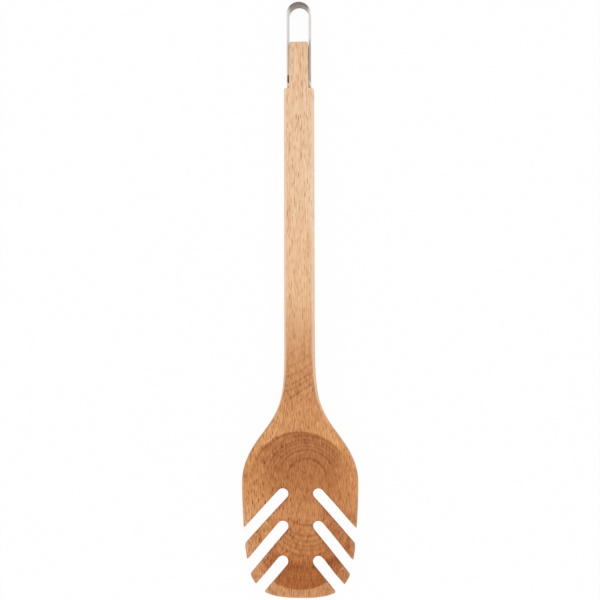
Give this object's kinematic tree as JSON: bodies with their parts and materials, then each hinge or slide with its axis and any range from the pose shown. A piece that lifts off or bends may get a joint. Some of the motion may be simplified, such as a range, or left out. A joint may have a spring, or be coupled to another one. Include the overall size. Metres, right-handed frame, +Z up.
{
  "type": "pasta spoon",
  "caption": "Beech pasta spoon with a shallow hollowed bowl, herringbone drain slots open at the edge, a long flat handle and a hinged steel hanging loop.",
  "frame": {"origin": "on the table, under the middle of the spoon's bounding box, with the spoon lying face up on its belly and the heel of its tongue", "axes": "+X across the spoon, +Y from the bowl to the hanging loop, +Z up out of the bowl"},
  "size_m": [0.0684, 0.3492, 0.0166],
  "materials": {
    "beech": "sanded and lightly oiled, satin",
    "pin_steel": "dull, hammered ends",
    "strip_steel": "polished strip, fine brushing along its length"
  },
  "bodies": {
    "spoon": {"spoon_body": "beech", "loop_pin": "pin_steel"},
    "loop": {"hanging_loop": "strip_steel"}
  },
  "joints": [
    {"name": "loop_swing", "type": "hinge", "parent": "spoon", "child": "loop", "pos_m": [0, 0.12912, 0.00608], "axis": [1, 0, 0], "range_deg": [-92.28, 87.72]}
  ]
}
